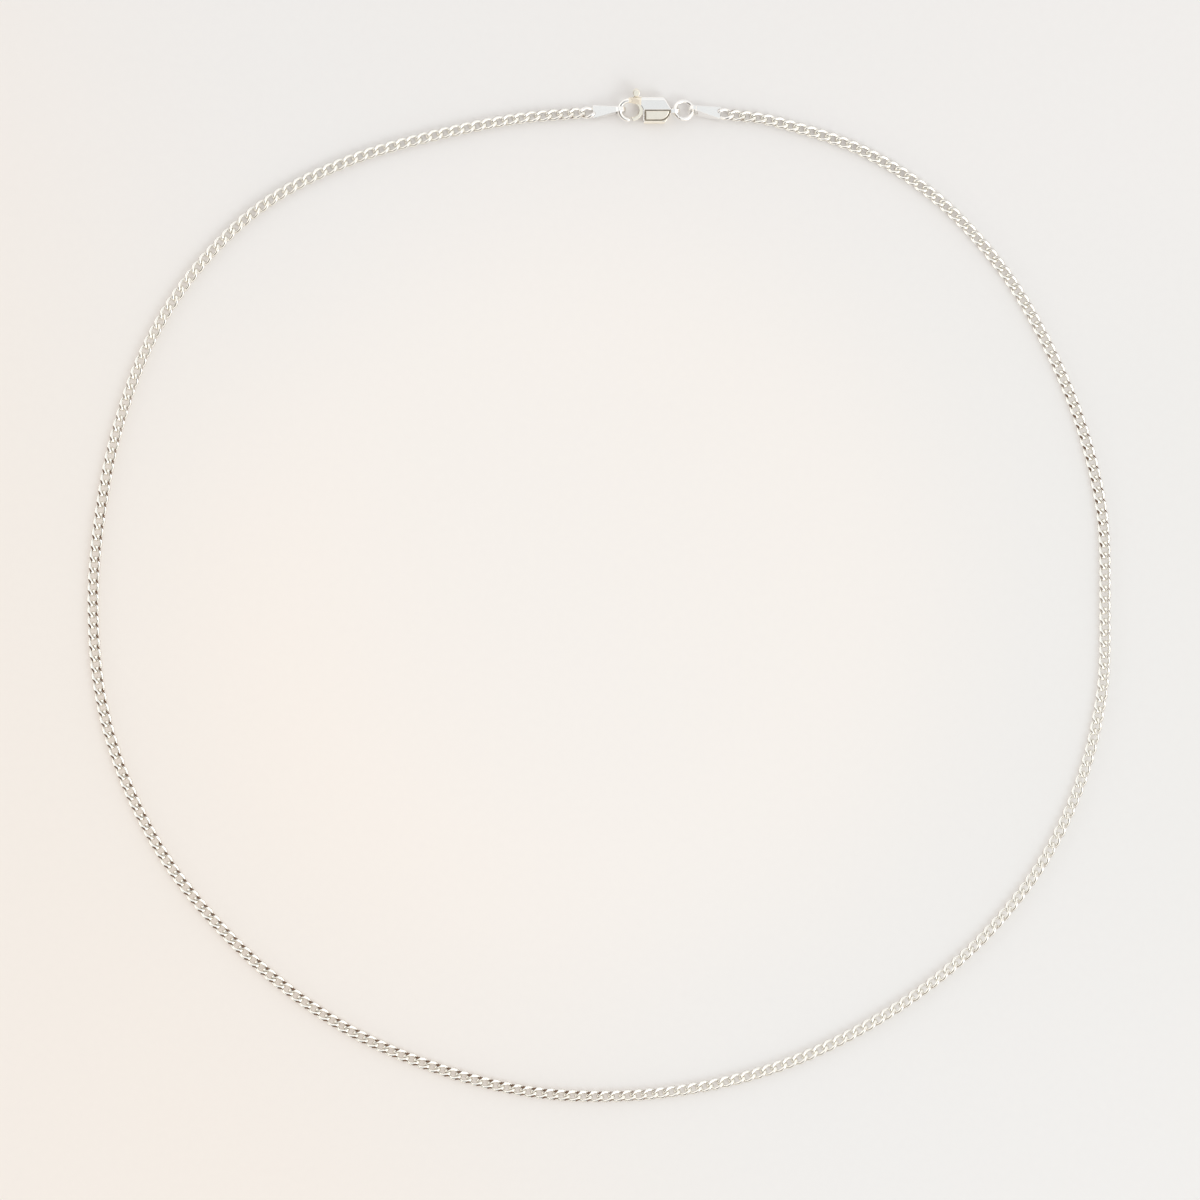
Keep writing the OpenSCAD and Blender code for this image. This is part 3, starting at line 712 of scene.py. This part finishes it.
def mark_hollows(mesh, size):
    """Stores how dark grooves and inner corners are painted, as tarnish and shade: 1 there, 0 on flat and
    rounded-out places.
    """
    count = len(mesh.vertices)
    spots, normals = places_of(mesh), np.empty(count * 3)
    ends = np.empty(len(mesh.edges) * 2, dtype=int)
    mesh.vertex_normals.foreach_get("vector", normals)
    mesh.edges.foreach_get("vertices", ends)
    normals, ends = normals.reshape(-1, 3), ends.reshape(-1, 2)
    near = np.bincount(ends.ravel(), minlength=count)

    def mean_of_neighbours(values):
        total = np.zeros_like(values)
        np.add.at(total, ends[:, 0], values[ends[:, 1]])
        np.add.at(total, ends[:, 1], values[ends[:, 0]])
        return (total.T / near).T

    hollow = ((mean_of_neighbours(spots) - spots) * normals).sum(axis=1) / size
    for _ in range(HOLLOW_BLUR):
        hollow = (hollow + mean_of_neighbours(hollow)) / 2
    # grooves and inner corners are painted darker, as tarnish and as the shade in them
    hollow_shade_and_tarnish = np.clip((hollow - HOLLOW_FROM) / (HOLLOW_FULL - HOLLOW_FROM), 0, 1)
    paint(mesh, "hollow_shade_and_tarnish", hollow_shade_and_tarnish)
    print(mesh.name, "hollow places", round(float((hollow_shade_and_tarnish > 0.5).mean()), 3), "of the skin")


print("a place starts to be hollow at", HOLLOW_FROM, "of a square")

# %% Helper for soft edges
MERGE_WITHIN_MM = 0.0005
SMOOTHING = 0.5


def cad_copy(node):
    """The CAD node's own shape in millimetres, with its loose triangles merged, as a bmesh."""
    shape = bmesh.new()
    shape.from_mesh(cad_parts[node].data)
    shape.transform(Matrix.Scale(1 / MM, 4))
    bmesh.ops.remove_doubles(shape, verts=shape.verts, dist=MERGE_WITHIN_MM)
    return shape


def softened(shape, name, finish, square_mm, rounds, place=Matrix.Identity(4)):
    """A new piece from a bmesh in millimetres: remeshed, smoothed, put in its place and scaled to metres."""
    mesh = bpy.data.meshes.new(name)
    shape.to_mesh(mesh)
    shape.free()
    piece = show(bpy.data.objects.new(name, mesh))
    remesh = piece.modifiers.new("even_squares", "REMESH")
    remesh.mode, remesh.voxel_size, remesh.use_smooth_shade = "VOXEL", square_mm, True
    smooth = piece.modifiers.new("soft_edges", "SMOOTH")
    smooth.factor, smooth.iterations = SMOOTHING, rounds
    even = plain_mesh(piece, name)
    mark_hollows(even, square_mm)
    even.transform(Matrix.Scale(MM, 4) @ place)
    even.polygons.foreach_set("use_smooth", [True] * len(even.polygons))
    even.materials.clear()
    even.materials.append(finish)
    piece.modifiers.clear()
    piece.data = even
    print(name, "triangles", sum(len(p.vertices) - 2 for p in even.polygons))
    return piece


print("each round of smoothing moves a point by", SMOOTHING, "of the way")

# %% [markdown]
# ## Clasp
# The claw clasp is one casting: a round hook, a slotted body with a panel grooved into its lower half,
# and a bail for the ring. The trigger turns in the slot, and its tab stands up for the thumb. The CAD
# has their right shapes and clearances, so both are softened copies of their CAD nodes. The trigger
# rides on its own body, so that it opens.

# %% Clasp casting and trigger
clasp_casting = softened(cad_copy("clasp_body"), "clasp_casting", clasp_silver, square_mm=0.045, rounds=8)
clasp_trigger = softened(cad_copy("clasp_lever"), "clasp_trigger", trigger_silver, square_mm=0.03, rounds=12)

# %% [markdown]
# ## Painted warm reflection and filed places
# The grooved lower half of the body is tinted warm, a painted warm reflection that the ridge above it
# doesn't get, and so is the claw's throat, which was also left dull by the file. Both are boxes seen from
# above, and the casting's points that lie inside them are painted with an attribute that the silver reads.

# %% Painted warm reflection and filed places
LOWER_HALF_MM = (6.9, 10.7, -math.inf, 69.62)
THROAT_MM = (4.7, 6.5, 70.3, 71.5)


def inside(places, x_from, x_to, y_from, y_to):
    """Which of the places lie inside a box seen from above."""
    x, y = places[:, 0], places[:, 1]
    return (x > x_from) & (x < x_to) & (y > y_from) & (y < y_to)


casting_places = places_of(clasp_casting.data) / MM
lower_half, throat = inside(casting_places, *LOWER_HALF_MM), inside(casting_places, *THROAT_MM)
# warm is a painted warm reflection on the lower half and the throat, and filed dulls the throat
for label, chosen in (("warm", lower_half | throat), ("filed", throat)):
    paint(clasp_casting.data, label, chosen.astype(float))
    print(label, "share of the casting", round(float(chosen.mean()), 3))

# %% [markdown]
# ## End tags
# Each end of the chain is soldered to a small folded tag: an upright eye at one end, and a plate that
# widens to the chain at the other. The tag's body is softened from its CAD node. The CAD ends it with a
# plain loop, which is cut off here at the plate's wide end, and a real twisted link takes its place. The
# plate slopes and leans, so the link is turned back level, or it would dig into the table. The link and
# the plate are remeshed together, so their joint is filled softly as solder fills it.

# %% Wire of the soldered link
END_LINK_STEPS, END_LINK_SIDES = 48, 16


def tube(points, radii, sides, shape):
    """A closed round wire through the points, as thick as the radii say, added to a bmesh."""
    rows = []
    count = len(points)
    for i, p in enumerate(points):
        ahead = (points[(i + 1) % count] - points[i - 1]).normalized()
        out = (p - p.project(AHEAD)).normalized()
        out = (out - out.project(ahead)).normalized()
        up = ahead.cross(out)
        rows.append([shape.verts.new(p + radii[i] * (math.cos(a) * out + math.sin(a) * up))
                     for a in (2 * math.pi * k / sides for k in range(sides))])
    for i, row_here in enumerate(rows):
        row_next = rows[(i + 1) % count]
        for k in range(sides):
            m = (k + 1) % sides
            shape.faces.new((row_here[k], row_here[m], row_next[m], row_next[k]))


print("the soldered link has", END_LINK_STEPS * END_LINK_SIDES, "faces before the remesh")

# %% Tag with its soldered link
PLATE_END_MM, CUT_SHORT_MM, ON_CUT_MM = 3.9, 0.002, 0.0001
RIGHT_LINK_TURN, LEFT_LINK_TURN = 13, 0


def turned_about(axis, degrees, size=4):
    """A turn about one axis, as a matrix."""
    return Matrix.Rotation(math.radians(degrees), size, axis)


def tag(node, eye, yaw, pitch, roll, link_turn):
    """A CAD tag with its plain loop cut off and a real link soldered on, level and turned by link_turn."""
    place = (Matrix.Translation(eye) @ turned_about("Z", yaw)
             @ turned_about("Y", pitch) @ turned_about("X", roll))
    shape = cad_copy(node)
    shape.transform(place.inverted())
    cut = bmesh.ops.bisect_plane(shape, geom=shape.verts[:] + shape.edges[:] + shape.faces[:],
                                 dist=ON_CUT_MM, plane_co=AHEAD * (PLATE_END_MM - CUT_SHORT_MM),
                                 plane_no=AHEAD, clear_outer=True)
    rim = [e for e in cut["geom_cut"] if isinstance(e, bmesh.types.BMEdge)]
    bmesh.ops.triangle_fill(shape, edges=rim, use_beauty=True)
    turns = [2 * math.pi * (i + 0.5) / END_LINK_STEPS for i in range(END_LINK_STEPS)]
    level = turned_about("X", -roll, 3) @ turned_about("Y", -pitch, 3) @ turned_about("X", roll + link_turn, 3)
    spots = [level @ link_spot(t) + AHEAD * END_LINK_AT_MM for t in turns]
    tube(spots, [wire_radius(t) for t in turns], END_LINK_SIDES, shape)
    return softened(shape, node + "_piece", tag_silver, square_mm=0.025, rounds=18, place=place)


right_tag = tag("right_tag", RIGHT_EYE_MM, -RIGHT_YAW, RIGHT_PITCH, -RIGHT_ROLL, RIGHT_LINK_TURN)
left_tag = tag("left_tag", LEFT_EYE_MM, 180 + LEFT_YAW, LEFT_PITCH, LEFT_ROLL, LEFT_LINK_TURN)

# %% [markdown]
# ## Jump ring
# The ring is round wire bent to a circle and closed without solder, so a hair-thin seam is left where
# its ends meet. A torus has no such seam, so the wire is drawn along the circle with two flat ends that
# nearly touch, each with a small chamfer.

# %% Jump ring
RING_AT_MM, RING_DIP, RING_LEAN = (12.5875, 69.7, 1.01556), 7.967, -6
RING_R_MM, RING_WIRE_MM = 1.3, 0.6
RING_STEPS, RING_SIDES = 120, 24
SEAM_MM, CHAMFER_MM, SEAM_ANGLE = 0.025, 0.03, 235


def jump_ring_wire():
    """The ring's wire as a bmesh in millimetres, in the ring's own flat frame."""
    shape = bmesh.new()
    half_gap = math.degrees(SEAM_MM / 2 / RING_R_MM)
    bevel = math.degrees(CHAMFER_MM / RING_R_MM)
    arc = 360 - 2 * half_gap
    end_share = 1 - CHAMFER_MM / (RING_WIRE_MM / 2)
    stops = [(0, end_share), (bevel, 1)]
    stops += [(bevel + (arc - 2 * bevel) * i / RING_STEPS, 1) for i in range(1, RING_STEPS)]
    stops += [(arc - bevel, 1), (arc, end_share)]
    rows = []
    for turn, share in stops:
        a = math.radians(SEAM_ANGLE + half_gap + turn)
        out = Vector((math.cos(a), math.sin(a), 0))
        rows.append([shape.verts.new(out * RING_R_MM
                                     + RING_WIRE_MM / 2 * share * (math.cos(b) * out + math.sin(b) * UP))
                     for b in (2 * math.pi * k / RING_SIDES for k in range(RING_SIDES))])
    for here, then in zip(rows, rows[1:]):
        for k in range(RING_SIDES):
            m = (k + 1) % RING_SIDES
            shape.faces.new((here[k], then[k], then[m], here[m]))
    shape.faces.new(rows[0])
    shape.faces.new(rows[-1][::-1])
    bmesh.ops.recalc_face_normals(shape, faces=shape.faces)
    return shape


shape = jump_ring_wire()
shape.transform(Matrix.Scale(MM, 4) @ Matrix.Translation(RING_AT_MM)
                @ turned_about("Y", RING_DIP) @ turned_about("X", RING_LEAN))
ring_mesh = bpy.data.meshes.new("jump_ring_wire")
shape.to_mesh(ring_mesh)
shape.free()
ring_mesh.polygons.foreach_set("use_smooth", [len(p.vertices) == 4 for p in ring_mesh.polygons])
ring_mesh.materials.append(ring_silver)
jump_ring = show(bpy.data.objects.new("jump_ring_wire", ring_mesh))
print("ring faces", len(ring_mesh.polygons))

# %% [markdown]
# ## Put it all on the frame
# Each finer piece replaces its CAD node and rides on that node's body. The rivet keeps its CAD shape,
# because it is a plain pin deep in the slot, and only takes the clasp's silver.

# %% Put it all on the frame
for piece, node, body, slot in (
        (chain_links, "curb_chain", "necklace", "chain_silver"),
        (right_tag, "right_tag", "necklace", "tag_silver"),
        (left_tag, "left_tag", "necklace", "tag_silver"),
        (jump_ring, "jump_ring", "necklace", "ring_silver"),
        (clasp_casting, "clasp_body", "necklace", "clasp_silver"),
        (clasp_trigger, "clasp_lever", "lever", "clasp_silver")):
    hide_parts(node)
    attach(piece, body)
for material_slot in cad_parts["clasp_rivet"].material_slots:
    material_slot.material = clasp_silver
